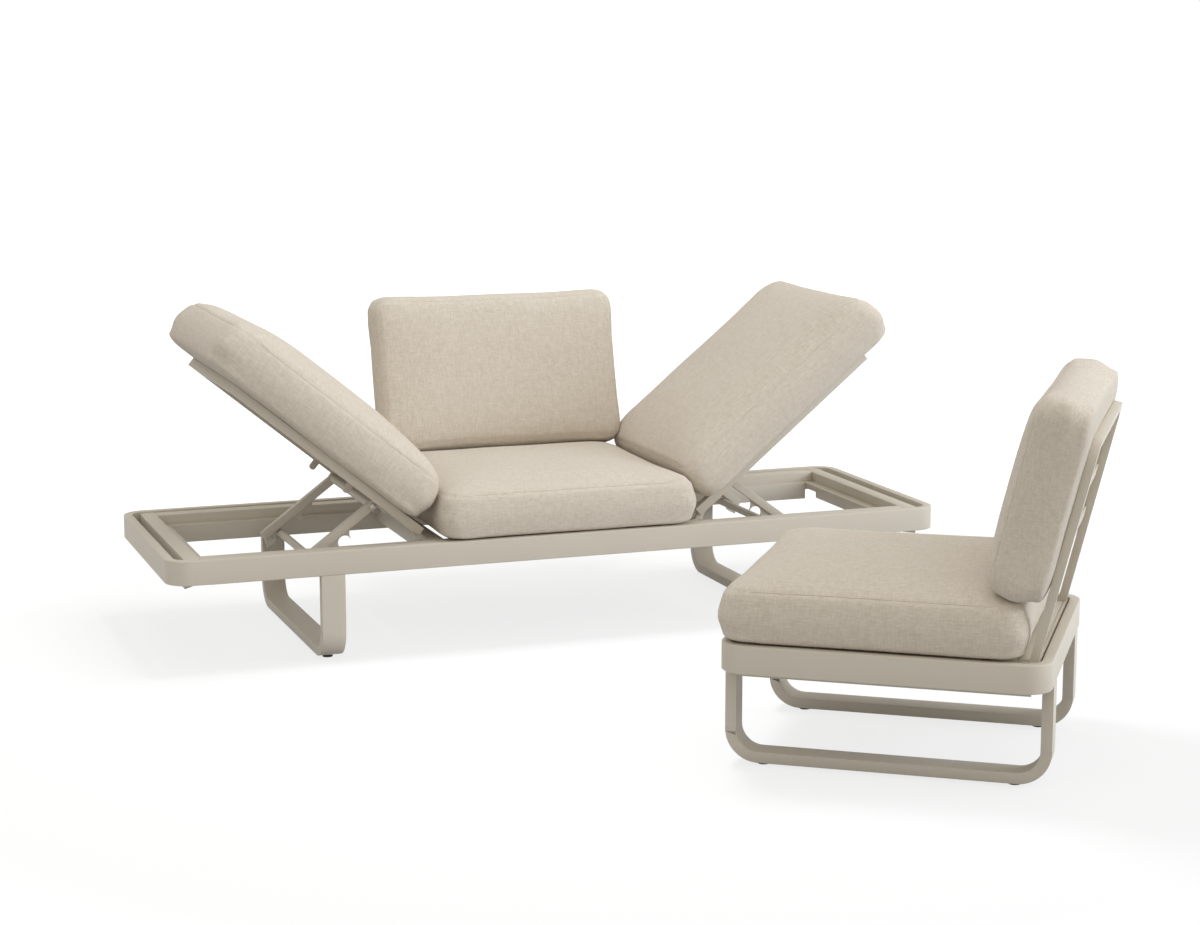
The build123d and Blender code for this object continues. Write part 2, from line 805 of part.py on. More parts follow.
# The set's footprint centre becomes the origin.
outer = Compound(children=[copy(piece) for piece in pieces]).bounding_box()
centre_x = (outer.min.X + outer.max.X) / 2
centre_y = (outer.min.Y + outer.max.Y) / 2
home = Location((-centre_x, -centre_y, 0))
for piece in pieces:
    name = piece.label
    placed = home * piece
    placed.label = name
    export_step(placed, f"parts/{name}.step")
    print(f"{name}: {len(placed.solids())} solids, {placed.volume:.0f} mm3, valid {placed.is_valid}")

print("box", outer.size, "moved by", -centre_x, -centre_y)
metre = 1000
for name, point in (
    ("left hinge", (hinge_x, half_side, hinge_z)),
    ("left prop pivot", (pivot.X, half_side, pivot.Z)),
    ("right hinge", (bench_long - hinge_x, half_side, hinge_z)),
    ("right prop pivot", (bench_long - pivot.X, half_side, pivot.Z)),
    ("front left glide", (bench_leg_inset + leg_wide / 2, glide_inset, 0)),
):
    print(name, [round(value / metre, 5) for value in (point[0] - centre_x, point[1] - centre_y, point[2])])
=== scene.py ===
import bpy
import bmesh
import json
import math
import numpy as np
from mathutils import Matrix, Vector


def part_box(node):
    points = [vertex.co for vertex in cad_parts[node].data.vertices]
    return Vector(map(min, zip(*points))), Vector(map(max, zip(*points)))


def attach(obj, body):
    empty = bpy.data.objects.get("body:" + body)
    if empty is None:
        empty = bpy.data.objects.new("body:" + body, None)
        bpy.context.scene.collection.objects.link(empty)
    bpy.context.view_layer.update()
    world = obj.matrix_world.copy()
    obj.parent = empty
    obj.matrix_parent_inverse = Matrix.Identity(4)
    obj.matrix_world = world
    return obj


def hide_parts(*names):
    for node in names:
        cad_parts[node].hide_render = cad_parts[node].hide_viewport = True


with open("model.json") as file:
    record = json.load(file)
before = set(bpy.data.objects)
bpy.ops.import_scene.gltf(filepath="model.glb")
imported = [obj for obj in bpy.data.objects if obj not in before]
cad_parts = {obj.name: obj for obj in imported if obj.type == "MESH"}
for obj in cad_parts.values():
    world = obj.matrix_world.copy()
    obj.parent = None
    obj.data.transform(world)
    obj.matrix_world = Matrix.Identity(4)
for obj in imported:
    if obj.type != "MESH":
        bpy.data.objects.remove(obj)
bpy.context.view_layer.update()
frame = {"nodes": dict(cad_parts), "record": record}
nodes = frame["nodes"]
scene = bpy.context.scene

# Places of lights and camera are given from the bench rim's low corner: x along the bench, y from
# its front to its back, z up from the floor. All lengths are metres.
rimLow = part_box("bench_rim")[0]


def benchPoint(x, y, z):
    return Vector((rimLow.x + x, rimLow.y + y, z))


# Nodes and colours

noiseLow, noiseMiddle, noiseHigh = 0.3, 0.5, 0.7   # most of a noise texture's values lie in this span
colourA, colourB, colourOut = 6, 7, 2              # sockets of a Mix node that is set to colour


# sRGB hex to the linear colour that a shader takes
def linearColour(code):
    parts = [int(code[i:i + 2], 16) / 255 for i in (1, 3, 5)]
    return tuple(c / 12.92 if c <= 0.04045 else ((c + 0.055) / 1.055) ** 2.4 for c in parts) + (1.0,)


# Adds a node with its settings and inputs. Inputs come by name or in order, and a node among them
# stands for its first output.
def addNode(tree, kind, inputs=(), **settings):
    node = tree.nodes.new(kind)
    for key, value in settings.items():
        setattr(node, key, value)
    pairs = inputs.items() if isinstance(inputs, dict) else enumerate(inputs)
    for key, value in pairs:
        if isinstance(value, bpy.types.Node):
            value = value.outputs[0]
        if isinstance(value, bpy.types.NodeSocket):
            tree.links.new(value, node.inputs[key])
        else:
            node.inputs[key].default_value = value
    return node


def newMaterial(name):
    material = bpy.data.materials.new(name)
    material.use_nodes = True
    material.node_tree.nodes.clear()
    return material, material.node_tree


# Matt polyester powder coat on aluminium tube, sprayed on and baked. Its fine grain and faint orange
# peel spread every highlight, so the frame reads as one even, warm beige grey.
powderCoatLook = {
    "base": ("#CCC4B6", "#D1C9BB"), "cloudSize": 0.33,                  # slow drift of the tone
    "speck": ("#C6BEB0", "#DAD2C4"), "speckSpan": (0.35, 0.75), "speckShare": 0.45,
    "grainSize": 0.0011, "grainDetail": 3.0, "grainRough": 0.6,
    "peelSize": 0.004, "roughness": (0.46, 0.58), "specular": 0.38,
    "peelHeight": 0.6, "grainHeight": 0.4, "bumpStrength": 0.12, "bumpDepth": 0.0004,
}


def powderCoat(look):
    material, tree = newMaterial("powder_coated_aluminium")
    at = addNode(tree, "ShaderNodeTexCoord").outputs["Object"]
    cloud = addNode(tree, "ShaderNodeTexNoise", {"Vector": at, "Scale": 1 / look["cloudSize"]})
    peel = addNode(tree, "ShaderNodeTexNoise", {"Vector": at, "Scale": 1 / look["peelSize"]})
    grain = addNode(tree, "ShaderNodeTexNoise", {"Vector": at, "Scale": 1 / look["grainSize"],
                                                 "Detail": look["grainDetail"],
                                                 "Roughness": look["grainRough"]})
    cloudShare = addNode(tree, "ShaderNodeMapRange", (cloud, noiseLow, noiseHigh, 0.0, 1.0))
    speckShare = addNode(tree, "ShaderNodeMapRange", (grain, *look["speckSpan"], 0.0, 1.0))
    low, high = (linearColour(code) for code in look["base"])
    base = addNode(tree, "ShaderNodeMix", {0: cloudShare, colourA: low, colourB: high}, data_type="RGBA")
    low, high = (linearColour(code) for code in look["speck"])
    speck = addNode(tree, "ShaderNodeMix", {0: speckShare, colourA: low, colourB: high}, data_type="RGBA")
    coat = addNode(tree, "ShaderNodeMix", {0: look["speckShare"], colourA: base.outputs[colourOut],
                                           colourB: speck.outputs[colourOut]}, data_type="RGBA")
    matt = addNode(tree, "ShaderNodeMapRange", (peel, noiseLow, noiseHigh, *look["roughness"]))
    peelPart = addNode(tree, "ShaderNodeMath", (peel, look["peelHeight"]), operation="MULTIPLY")
    grainPart = addNode(tree, "ShaderNodeMath", (grain, look["grainHeight"]), operation="MULTIPLY")
    height = addNode(tree, "ShaderNodeMath", (peelPart, grainPart), operation="ADD")
    bump = addNode(tree, "ShaderNodeBump", {"Height": height, "Strength": look["bumpStrength"],
                                            "Distance": look["bumpDepth"]})
    shader = addNode(tree, "ShaderNodeBsdfPrincipled",
                     {"Base Color": coat.outputs[colourOut], "Roughness": matt, "Normal": bump,
                      "Specular IOR Level": look["specular"]})
    addNode(tree, "ShaderNodeOutputMaterial", {"Surface": shader})
    return material


# Black moulded nylon of the glides: dull, and greyed by scuffs close to the floor.
glideLook = {
    "clean": "#1B1B1C", "scuffed": "#3A3938", "scuffSize": 0.0024, "scuffFlat": 4.0,
    "scuffDetail": 4.0, "scuffRough": 0.65, "scuffSpan": (0.45, 0.75), "scuffShare": 0.8,
    "scuffTop": 0.004, "roughness": (0.5, 0.68), "bumpStrength": 0.15, "bumpDepth": 0.0003,
}


def glideNylon(look):
    material, tree = newMaterial("black_nylon_glide")
    at = addNode(tree, "ShaderNodeTexCoord").outputs["Object"]
    flat = addNode(tree, "ShaderNodeVectorMath", (at, (1.0, 1.0, look["scuffFlat"])), operation="MULTIPLY")
    scuff = addNode(tree, "ShaderNodeTexNoise", {"Vector": flat, "Scale": 1 / look["scuffSize"],
                                                 "Detail": look["scuffDetail"],
                                                 "Roughness": look["scuffRough"]})
    above = addNode(tree, "ShaderNodeSeparateXYZ", (at,)).outputs["Z"]
    low = addNode(tree, "ShaderNodeMapRange", (above, 0.0, look["scuffTop"], 1.0, 0.0))
    worn = addNode(tree, "ShaderNodeMapRange", (scuff, *look["scuffSpan"], 0.0, look["scuffShare"]))
    share = addNode(tree, "ShaderNodeMath", (low, worn), operation="MULTIPLY", use_clamp=True)
    nylon = addNode(tree, "ShaderNodeMix", {0: share, colourA: linearColour(look["clean"]),
                                            colourB: linearColour(look["scuffed"])}, data_type="RGBA")
    dull = addNode(tree, "ShaderNodeMapRange", (scuff, noiseLow, noiseHigh, *look["roughness"]))
    bump = addNode(tree, "ShaderNodeBump", {"Height": scuff, "Strength": look["bumpStrength"],
                                            "Distance": look["bumpDepth"]})
    shader = addNode(tree, "ShaderNodeBsdfPrincipled",
                     {"Base Color": nylon.outputs[colourOut], "Roughness": dull, "Normal": bump})
    addNode(tree, "ShaderNodeOutputMaterial", {"Surface": shader})
    return material


# Bright zinc-plated steel of pins, rods and bolts: turned, then plated, so it shines a little
# unevenly round the bar.
zincLook = {
    "tones": ("#9C9B96", "#BDBBB4"), "cloudSize": 0.011, "cloudDetail": 3.0,
    "turnedSize": 0.017, "turnedFine": 30.0,                            # rings along the bar's length
    "roughness": (0.28, 0.44), "bumpStrength": 0.1, "bumpDepth": 0.0002,
}


def zincSteel(look):
    material, tree = newMaterial("zinc_plated_steel")
    at = addNode(tree, "ShaderNodeTexCoord").outputs["Object"]
    cloud = addNode(tree, "ShaderNodeTexNoise", {"Vector": at, "Scale": 1 / look["cloudSize"],
                                                 "Detail": look["cloudDetail"]})
    rings = addNode(tree, "ShaderNodeVectorMath", (at, (1.0, look["turnedFine"], 1.0)), operation="MULTIPLY")
    turned = addNode(tree, "ShaderNodeTexNoise", {"Vector": rings, "Scale": 1 / look["turnedSize"]})
    low, high = (linearColour(code) for code in look["tones"])
    plate = addNode(tree, "ShaderNodeMix", {0: cloud, colourA: low, colourB: high}, data_type="RGBA")
    polish = addNode(tree, "ShaderNodeMapRange", (turned, noiseLow, noiseHigh, *look["roughness"]))
    bump = addNode(tree, "ShaderNodeBump", {"Height": turned, "Strength": look["bumpStrength"],
                                            "Distance": look["bumpDepth"]})
    shader = addNode(tree, "ShaderNodeBsdfPrincipled",
                     {"Base Color": plate.outputs[colourOut], "Roughness": polish, "Normal": bump,
                      "Metallic": 1.0})
    addNode(tree, "ShaderNodeOutputMaterial", {"Surface": shader})
    return material


# Beige outdoor cloth, woven plain from two crossing sets of slubby, heathered yarns: a dry, linen-like
# face with short darker and lighter streaks both ways. The real threads lie about 1 mm apart, too
# fine to show here, so they are drawn 2.3 mm apart.
weaveLook = {
    "threadPitch": 0.0023, "bendSize": 0.03, "bendDepth": 0.0016,       # threads wander a little
    "yarn": {"thick": 0.0021, "long": 0.014, "detail": 1.0},            # change of tone along one yarn
    "slub": {"thick": 0.0038, "long": 0.021, "detail": 2.0},            # thicker places in the yarns
    "panelPitch": 40.0,                             # sets the streaks of one panel apart from the next
    "dark": "#C6B9A5", "mid": "#D8CDBD", "light": "#EAE1D5", "topSpan": 0.25,
    "heather": ("#CBBFAD", "#E9E0D4"), "heatherSpan": (0.78, 1.22), "heatherShare": 0.38,
    # The gap tone is painted shade: it darkens the colour in the gaps between the threads.
    "gapShade": "#A8987F", "gapShadeWidth": 0.45, "gapShadeShare": 0.30,
    "faded": "#DFD5C8", "fadedSize": 0.2, "fadedShare": 0.22,
    "roughness": (0.86, 0.98), "slubHeight": 0.9, "bumpStrength": 0.6, "bumpDepth": 0.0009,
    "sheen": 0.18, "sheenRoughness": 0.55, "specular": 0.2,
}


# The attribute weaveAt holds the place on the cloth, so the threads run straight along each panel.
def outdoorWeave(look):
    material, tree = newMaterial("beige_outdoor_weave")
    at = addNode(tree, "ShaderNodeAttribute", attribute_name="weaveAt").outputs["Vector"]
    place = addNode(tree, "ShaderNodeSeparateXYZ", (at,))
    bend = addNode(tree, "ShaderNodeTexNoise", {"Vector": at, "Scale": 1 / look["bendSize"]})
    eitherWay = addNode(tree, "ShaderNodeMath", (bend, noiseMiddle), operation="SUBTRACT")
    drift = addNode(tree, "ShaderNodeMath", (eitherWay, look["bendDepth"]), operation="MULTIPLY")
    waves = []
    for axis in ("X", "Y"):
        across = addNode(tree, "ShaderNodeMath", (place.outputs[axis], drift), operation="ADD")
        turns = addNode(tree, "ShaderNodeMath", (across, math.pi / look["threadPitch"]), operation="MULTIPLY")
        waves.append(addNode(tree, "ShaderNodeMath", (turns,), operation="SINE"))
    over = addNode(tree, "ShaderNodeMath", waves, operation="MULTIPLY")
    onTop = addNode(tree, "ShaderNodeMapRange", (over, -look["topSpan"], look["topSpan"], 0.0, 1.0))

    streaks = []                                    # along the warp and the weft, of yarn and of slub
    for part in (look["yarn"], look["slub"]):
        thick, long = 1 / part["thick"], 1 / part["long"]
        for fine in ((thick, long, look["panelPitch"]), (long, thick, look["panelPitch"])):
            spot = addNode(tree, "ShaderNodeVectorMath", (at, fine), operation="MULTIPLY")
            streaks.append(addNode(tree, "ShaderNodeTexNoise", {"Vector": spot, "Scale": 1.0,
                                                                "Detail": part["detail"]}))
    warp, weft, slubAcross, slubAlong = streaks

    dark, mid, light = (linearColour(look[tone]) for tone in ("dark", "mid", "light"))
    warpShare = addNode(tree, "ShaderNodeMapRange", (warp, noiseLow, noiseHigh, 0.0, 1.0))
    weftShare = addNode(tree, "ShaderNodeMapRange", (weft, noiseLow, noiseHigh, 0.0, 1.0))
    warpYarn = addNode(tree, "ShaderNodeMix", {0: warpShare, colourA: mid, colourB: light}, data_type="RGBA")
    weftYarn = addNode(tree, "ShaderNodeMix", {0: weftShare, colourA: dark, colourB: light}, data_type="RGBA")
    cloth = addNode(tree, "ShaderNodeMix", {0: onTop, colourA: warpYarn.outputs[colourOut],
                                            colourB: weftYarn.outputs[colourOut]}, data_type="RGBA")

    slubs = addNode(tree, "ShaderNodeMath", (slubAcross, slubAlong), operation="ADD")
    slubShare = addNode(tree, "ShaderNodeMapRange", (slubs, *look["heatherSpan"], 0.0, 1.0))
    low, high = (linearColour(code) for code in look["heather"])
    heather = addNode(tree, "ShaderNodeMix", {0: slubShare, colourA: low, colourB: high}, data_type="RGBA")
    # Painted shade: the colour darkens towards the gaps between the threads, where the ridge is low.
    ridge = addNode(tree, "ShaderNodeMath", (over,), operation="ABSOLUTE")
    inGapShade = addNode(tree, "ShaderNodeMapRange", (ridge, 0.0, look["gapShadeWidth"], 1.0, 0.0))
    gapShadeShare = addNode(tree, "ShaderNodeMath", (inGapShade, look["gapShadeShare"]), operation="MULTIPLY")
    broad = addNode(tree, "ShaderNodeTexNoise", {"Vector": at, "Scale": 1 / look["fadedSize"]})
    fadedShare = addNode(tree, "ShaderNodeMapRange", (broad, noiseLow, noiseHigh, 0.0, look["fadedShare"]))
    for share, tone in ((look["heatherShare"], heather.outputs[colourOut]),
                        (gapShadeShare, linearColour(look["gapShade"])), (fadedShare, linearColour(look["faded"]))):
        cloth = addNode(tree, "ShaderNodeMix", {0: share, colourA: cloth.outputs[colourOut], colourB: tone},
                        data_type="RGBA")

    dry = addNode(tree, "ShaderNodeMapRange", (warp, noiseLow, noiseHigh, *look["roughness"]))
    slubRise = addNode(tree, "ShaderNodeMath", (slubs, look["slubHeight"]), operation="MULTIPLY")
    rise = addNode(tree, "ShaderNodeMath", (ridge, slubRise), operation="ADD")
    bump = addNode(tree, "ShaderNodeBump", {"Height": rise, "Strength": look["bumpStrength"],
                                            "Distance": look["bumpDepth"]})
    shader = addNode(tree, "ShaderNodeBsdfPrincipled",
                     {"Base Color": cloth.outputs[colourOut], "Roughness": dry, "Normal": bump,
                      "Sheen Weight": look["sheen"], "Sheen Roughness": look["sheenRoughness"],
                      "Specular IOR Level": look["specular"]})
    addNode(tree, "ShaderNodeOutputMaterial", {"Surface": shader})
    return material


coat = powderCoat(powderCoatLook)
nylon = glideNylon(glideLook)
zinc = zincSteel(zincLook)
weave = outdoorWeave(weaveLook)
print("stage: materials")


# Frame, hinges, props and glides keep the shape of the part's own solids, with softened edges

softEdges = {
    "joinDistance": 0.00002, "sharpAngle": math.radians(32),
    "bevelAngle": math.radians(40), "bevelSegments": 2,
    "bevelWidth": {"frame": 0.0011, "glide": 0.0012, "zinc": 0.0004},
}
finishes = {"frame": coat, "glide": nylon, "zinc": zinc}


# A geometry tree with its start, its end and the identifiers of its named inputs
def newShapeTree(name, **inputs):
    tree = bpy.data.node_groups.new(name, "GeometryNodeTree")
    tree.interface.new_socket("Geometry", in_out="INPUT", socket_type="NodeSocketGeometry")
    tree.interface.new_socket("Geometry", in_out="OUTPUT", socket_type="NodeSocketGeometry")
    sockets = {label: tree.interface.new_socket(label, in_out="INPUT", socket_type=kind).identifier
               for label, kind in inputs.items()}
    return tree, tree.nodes.new("NodeGroupInput"), tree.nodes.new("NodeGroupOutput"), sockets


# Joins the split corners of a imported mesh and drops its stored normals, so that a bevel can follow
def joinCornersTree():
    tree, start, end, sockets = newShapeTree("joinCorners", joinDistance="NodeSocketFloat")
    joined = addNode(tree, "GeometryNodeMergeByDistance",
                     {"Geometry": start, "Distance": start.outputs["joinDistance"]})
    bare = addNode(tree, "GeometryNodeRemoveAttribute", {"Geometry": joined, "Name": "custom_normal"})
    tree.links.new(bare.outputs[0], end.inputs[0])
    return tree, sockets


# Shades smooth, and leaves edges over the angle sharp
def smoothByAngleTree():
    tree, start, end, sockets = newShapeTree("smoothByAngle", sharpAngle="NodeSocketFloat")
    edgeAngle = addNode(tree, "GeometryNodeInputMeshEdgeAngle")
    soft = addNode(tree, "FunctionNodeCompare", {"A": edgeAngle, "B": start.outputs["sharpAngle"]},
                   data_type="FLOAT", operation="LESS_EQUAL")
    faces = addNode(tree, "GeometryNodeSetShadeSmooth", {"Geometry": start}, domain="FACE")
    creases = addNode(tree, "GeometryNodeSetShadeSmooth", {"Geometry": faces, "Shade Smooth": soft},
                      domain="EDGE")
    tree.links.new(creases.outputs[0], end.inputs[0])
    return tree, sockets


joinCorners, joinSockets = joinCornersTree()
smoothByAngle, smoothSockets = smoothByAngleTree()
slots = {part["node"]: part["material_slot"] for part in frame["record"]["subparts"]}

for name, thing in nodes.items():
    finish = finishes.get(slots[name])
    if finish is None:
        continue                                    # a cushion, which is made below
    thing.data.materials.clear()
    thing.data.materials.append(finish)
    joiner = thing.modifiers.new("join corners", "NODES")
    joiner.node_group = joinCorners
    joiner[joinSockets["joinDistance"]] = softEdges["joinDistance"]
    bevel = thing.modifiers.new("soft edges", "BEVEL")
    bevel.width = softEdges["bevelWidth"][slots[name]]
    bevel.segments = softEdges["bevelSegments"]
    bevel.limit_method = "ANGLE"
    bevel.angle_limit = softEdges["bevelAngle"]
    bevel.use_clamp_overlap = True
    shade = thing.modifiers.new("smooth by angle", "NODES")
    shade.node_group = smoothByAngle
    shade[smoothSockets["sharpAngle"]] = softEdges["sharpAngle"]
print("stage: frame")


# Cushions

backLean = math.radians(13.5)                       # of both backrests, from upright
reclineRise = math.radians(39.5)                    # of a raised recliner, from level
chairTurn = Matrix.Rotation(math.radians(-126.12), 3, "Z")


# A cushion's long axis, which rises by an angle towards a heading, and the axis out of its face
def cushionAxes(headingX, headingY, rise):
    along = Vector((headingX * math.cos(rise), headingY * math.cos(rise), math.sin(rise)))
    up = Vector((-headingX * math.sin(rise), -headingY * math.sin(rise), math.cos(rise)))
    return along, up


seatAxes = cushionAxes(0, 1, 0)
backAxes = cushionAxes(0, 1, math.pi / 2 - backLean)
cushions = {
    "seatCushion": {"node": "bench_seat_cushion", "body": "bench", "form": "seat",
                    "axes": seatAxes, "seed": 3},
    "backCushion": {"node": "bench_back_cushion", "body": "bench", "form": "back",
                    "axes": backAxes, "seed": 11},
    "leftReclinerCushion": {"node": "left_recliner_cushion", "body": "left_cushion", "form": "recliner",
                            "axes": cushionAxes(-1, 0, reclineRise), "seed": 23},
    "rightReclinerCushion": {"node": "right_recliner_cushion", "body": "right_cushion", "form": "recliner",
                             "axes": cushionAxes(1, 0, reclineRise), "seed": 31},
    "chairSeatCushion": {"node": "chair_seat_cushion", "body": "chair", "form": "seat",
                         "axes": tuple(chairTurn @ axis for axis in seatAxes), "seed": 47},
    "chairBackCushion": {"node": "chair_back_cushion", "body": "chair", "form": "back",
                         "axes": tuple(chairTurn @ axis for axis in backAxes), "seed": 59},
}

# Heights of the upper seam and of the sewn lower edge, the lower edge's rounding, how hard the
# filling presses and how far it may push the cover, and how far the stuffed cover stands out past
# the part's form at its near end, its far end, each side and its crown.
forms = {
    "seat": {"seam": 0.122, "lowSeam": 0.012, "lowRound": 0.026, "pressure": 3.6, "push": 0.014,
             "past": (0.0, 0.003, 0.001, 0.002), "fill": 0.85},
    "back": {"seam": 0.128, "lowSeam": 0.02, "lowRound": 0.042, "pressure": 4.0, "push": 0.02,
             "past": (0.011, -0.004, 0.003, 0.0), "fill": 0.8},
    "recliner": {"seam": 0.122, "lowSeam": 0.014, "lowRound": 0.036, "pressure": 3.8, "push": 0.016,
                 "past": (0.0, 0.013, 0.004, 0.006), "fill": 0.85},
}

cover = {
    "weld": 0.0001, "voxel": 0.0115, "smoothing": 0.5, "smoothTurns": 3,
    "tightShare": 0.5, "underside": 0.002, "levelLeast": 0.25,          # squaring of the lower edge
    "seamReach": 0.008, "seamEdge": 0.93, "lowSeamEdge": 0.9,           # where the seams hold the cover
    "crownPower": 0.78,                             # below 1, the crown is full close to the seam
    "swellSize": 0.26, "swellDepth": 0.0016,        # slow swell of the filling
    "creaseSize": 0.045, "creaseDepth": 0.0008, "creaseReach": 0.02,    # fine creases near the seam
    "grooveDepth": 0.0016, "grooveReach": 0.004, "steep": 0.85,         # where the panels are sewn together
}
sewnCloth = {"quality": 4, "mass": 0.35, "pin_stiffness": 1.0, "tension_stiffness": 22,
             "compression_stiffness": 22, "shear_stiffness": 8, "bending_stiffness": 0.8}
clothFrames = 14


def pointsOf(mesh):
    places = np.empty(len(mesh.vertices) * 3)
    mesh.vertices.foreach_get("co", places)
    return places.reshape(-1, 3)


def normalsOf(mesh):
    normals = np.empty(len(mesh.vertices) * 3)
    mesh.vertices.foreach_get("normal", normals)
    return normals.reshape(-1, 3)


def setPoints(mesh, places):
    mesh.vertices.foreach_set("co", places.ravel())
    mesh.update()


# Works an object's modifiers into its mesh
def applyModifiers(thing):
    depsgraph = bpy.context.evaluated_depsgraph_get()
    mesh = bpy.data.meshes.new_from_object(thing.evaluated_get(depsgraph))
    thing.modifiers.clear()
    old = thing.data
    thing.data = mesh
    bpy.data.meshes.remove(old)


def smoothPad(pad):
    smooth = pad.modifiers.new("smooth", "SMOOTH")
    smooth.factor = cover["smoothing"]
    smooth.iterations = cover["smoothTurns"]
    applyModifiers(pad)


# A cushion's own axes, the middle of its underside and its size, measured on the part's solid
def cushionFrame(cushion):
    along, up = cushion["axes"]
    turn = np.array([along, up.cross(along), up])
    local = pointsOf(nodes[cushion["node"]].data) @ turn.T
    low, high = local.min(0), local.max(0)
    origin = np.array([(low[0] + high[0]) / 2, (low[1] + high[1]) / 2, low[2]])
    return turn, origin, high - low


# A closed shell of even faces from the part's solid, with its lower edge squarer than the solid's
def plainPad(form, facts, cushion):
    turn, origin, _ = cushionFrame(cushion)
    solid = nodes[cushion["node"]].data
    mesh = bpy.data.meshes.new(form + "Pad")
    mesh.from_pydata([tuple(corner) for corner in pointsOf(solid) @ turn.T - origin], [],
                     [tuple(face.vertices) for face in solid.polygons])
    mesh.update()
    pad = bpy.data.objects.new(form + "Pad", mesh)
    scene.collection.objects.link(pad)
    weld = pad.modifiers.new("weld", "WELD")
    weld.merge_threshold = cover["weld"]
    remesh = pad.modifiers.new("remesh", "REMESH")
    remesh.mode = "VOXEL"
    remesh.voxel_size = cover["voxel"]
    smoothPad(pad)
    places = pointsOf(pad.data)
    wide, tight = facts["lowRound"], facts["lowRound"] * cover["tightShare"]
    drop = np.clip(wide - places[:, 2], 0.0, wide)
    tightDrop = np.clip(tight - places[:, 2], 0.0, tight)
    out = (wide - np.sqrt(wide ** 2 - drop ** 2)) - (tight - np.sqrt(tight ** 2 - tightDrop ** 2))
    level = normalsOf(pad.data) * np.array([1.0, 1.0, 0.0])
    level /= np.maximum(np.linalg.norm(level, axis=1), cover["levelLeast"])[:, None]
    places += level * (out * (places[:, 2] > cover["underside"]))[:, None]
    setPoints(pad.data, places)
    return pad


# Blows the shell up as cloth that its seams hold, and gives the cover's new points
def inflated(pad, form, facts, size):
    before = pointsOf(pad.data)
    height = before[:, 2]
    outward = np.maximum(np.abs(before[:, 0]) / (size[0] / 2), np.abs(before[:, 1]) / (size[1] / 2))
    atSeam = (np.abs(height - facts["seam"]) < cover["seamReach"]) & (outward > cover["seamEdge"])
    atLowSeam = (height < facts["lowSeam"]) & (outward > cover["lowSeamEdge"])
    seams = pad.vertex_groups.new(name="seams")
    seams.add([int(i) for i in np.where(atSeam | atLowSeam)[0]], 1.0, "REPLACE")
    cloth = pad.modifiers.new("cloth", "CLOTH")
    cloth.settings.vertex_group_mass = "seams"
    cloth.settings.use_pressure = True
    cloth.settings.uniform_pressure_force = facts["pressure"]
    cloth.settings.effector_weights.gravity = 0.0
    for setting, value in sewnCloth.items():
        setattr(cloth.settings, setting, value)
    cloth.point_cache.frame_start = 1
    cloth.point_cache.frame_end = clothFrames
    for step in range(1, clothFrames + 1):
        scene.frame_set(step)
    depsgraph = bpy.context.evaluated_depsgraph_get()
    after = pointsOf(pad.evaluated_get(depsgraph).data)
    pad.modifiers.clear()
    scene.frame_set(1)
    moved = after - before
    reach = np.linalg.norm(moved, axis=1)
    print(form, "cloth moved up to", round(float(reach.max()), 4), "mean", round(float(reach.mean()), 4))
    keep = np.minimum(1.0, facts["push"] / np.maximum(reach, 1e-9))
    return before + moved * keep[:, None]


# The finished pad has the part's outside sizes and what stands out past them, its seam at the
# planned height, and a crown that is full close to the seam.
def stuffedPad(form, facts, cushion):
    _, _, size = cushionFrame(cushion)
    pad = plainPad(form, facts, cushion)
    setPoints(pad.data, inflated(pad, form, facts, size))
    smoothPad(pad)
    places = pointsOf(pad.data)
    near, far, side, crown = facts["past"]
    ends = ((-size[0] / 2 - near, size[0] / 2 + far), (-size[1] / 2 - side, size[1] / 2 + side))
    for axis, span in enumerate(ends):
        places[:, axis] = np.interp(places[:, axis], (places[:, axis].min(), places[:, axis].max()), span)
    seam, top = facts["seam"], places[:, 2].max()
    above = places[:, 2] > seam
    share = (places[above, 2] - seam) / (top - seam)
    places[above, 2] = seam + share ** cover["crownPower"] * (size[2] + crown - seam)
    places[:, 2] = np.maximum(places[:, 2], 0.0)
    setPoints(pad.data, places)
    return pad


pads = {}
for form, facts in forms.items():
    pads[form] = stuffedPad(form, facts, next(c for c in cushions.values() if c["form"] == form))
print("stage: cloth")


# Slow variation from a few sine waves in turned directions
def smoothNoise(places, size, seed, waves=9, pitchSpan=(0.7, 1.5)):
    random = np.random.default_rng(seed)
    total = np.zeros(len(places))
    for _ in range(waves):
        direction = random.normal(size=3)
        direction /= np.linalg.norm(direction)
        phase = random.uniform(0, 2 * math.pi)
        pitch = size * random.uniform(*pitchSpan)
        total += np.sin(places @ direction * (2 * math.pi / pitch) + phase)
    return total / waves


weavePlace = {
    "panelFavour": (1.0, 1.0, 1.15),                # the top panel reaches a little over its edges
    "panelShift": 0.37, "seedShift": 0.0137,        # no two panels or cushions show the same streaks
}


# Place on the cloth for each face corner, along the panel that the face belongs to
def weaveAttribute(mesh, seed):
    faceCount = len(mesh.polygons)
    normals = np.empty(faceCount * 3)
    mesh.polygons.foreach_get("normal", normals)
    panel = (np.abs(normals.reshape(-1, 3)) * np.array(weavePlace["panelFavour"])).argmax(1)
    cornerCounts = np.empty(faceCount, dtype=np.int32)
    mesh.polygons.foreach_get("loop_total", cornerCounts)
    corner = np.empty(len(mesh.loops), dtype=np.int32)
    mesh.loops.foreach_get("vertex_index", corner)
    panelOfCorner = np.repeat(panel, cornerCounts)
    place = pointsOf(mesh)[corner]
    flat = np.empty_like(place)
    for index, (first, second) in enumerate(((1, 2), (0, 2), (0, 1))):
        chosen = panelOfCorner == index
        flat[chosen, 0] = place[chosen, first]
        flat[chosen, 1] = place[chosen, second]
        flat[chosen, 2] = index * weavePlace["panelShift"]
    flat += seed * weavePlace["seedShift"]
    attribute = mesh.attributes.new("weaveAt", "FLOAT_VECTOR", "CORNER")
    attribute.data.foreach_set("vector", flat.astype(np.float32).ravel())


# Seam cords, one round each cushion

